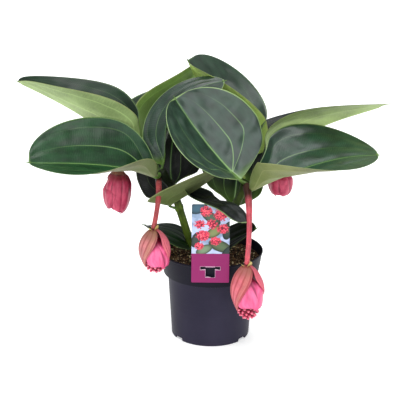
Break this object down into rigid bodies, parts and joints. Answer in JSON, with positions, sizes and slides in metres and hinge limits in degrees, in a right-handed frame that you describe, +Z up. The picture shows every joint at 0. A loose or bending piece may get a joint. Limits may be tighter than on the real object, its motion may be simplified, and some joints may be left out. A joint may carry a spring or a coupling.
{
  "type": "potted medinilla",
  "caption": "Potted medinilla with broad glossy leaves and hanging pink flower buds, in a dark nursery pot with a hang tag.",
  "frame": {"origin": "centre of the pot's flat base, on the surface that the pot stands on", "axes": "+Z up; +X to the right and -Y towards the viewer, who faces the hang tag on the pot's rim"},
  "size_m": [0.5961, 0.3236, 0.4427],
  "materials": {
    "pot_plastic": "satin",
    "soil": "matte",
    "label_card": "gloss",
    "stem": "satin",
    "leaf": "gloss",
    "flower_stalk": "satin",
    "outer_bract": "satin",
    "inner_bract": "satin",
    "floret": "satin"
  },
  "bodies": {
    "root": {"pot": "pot_plastic", "label": "label_card", "soil": "soil", "stem_left": "stem", "stem_right": "stem", "peduncle_1": "flower_stalk", "peduncle_2": "flower_stalk", "peduncle_3": "flower_stalk", "peduncle_4": "flower_stalk", "outer_bracts_1": "outer_bract", "inner_bracts_1": "inner_bract", "florets_1": "floret", "outer_bracts_2": "outer_bract", "inner_bracts_2": "inner_bract", "florets_2": "floret", "outer_bracts_3": "outer_bract", "inner_bracts_3": "inner_bract", "florets_3": "floret", "outer_bracts_4": "outer_bract", "inner_bracts_4": "inner_bract", "florets_4": "floret", "leaf_a": "leaf", "leaf_b": "leaf", "leaf_c": "leaf", "leaf_d": "leaf", "leaf_e": "leaf", "leaf_f": "leaf", "leaf_g": "leaf", "leaf_h": "leaf", "leaf_i": "leaf", "leaf_k": "leaf", "leaf_l": "leaf", "leaf_m": "leaf", "leaf_n": "leaf", "leaf_o": "leaf"}
  },
  "joints": []
}
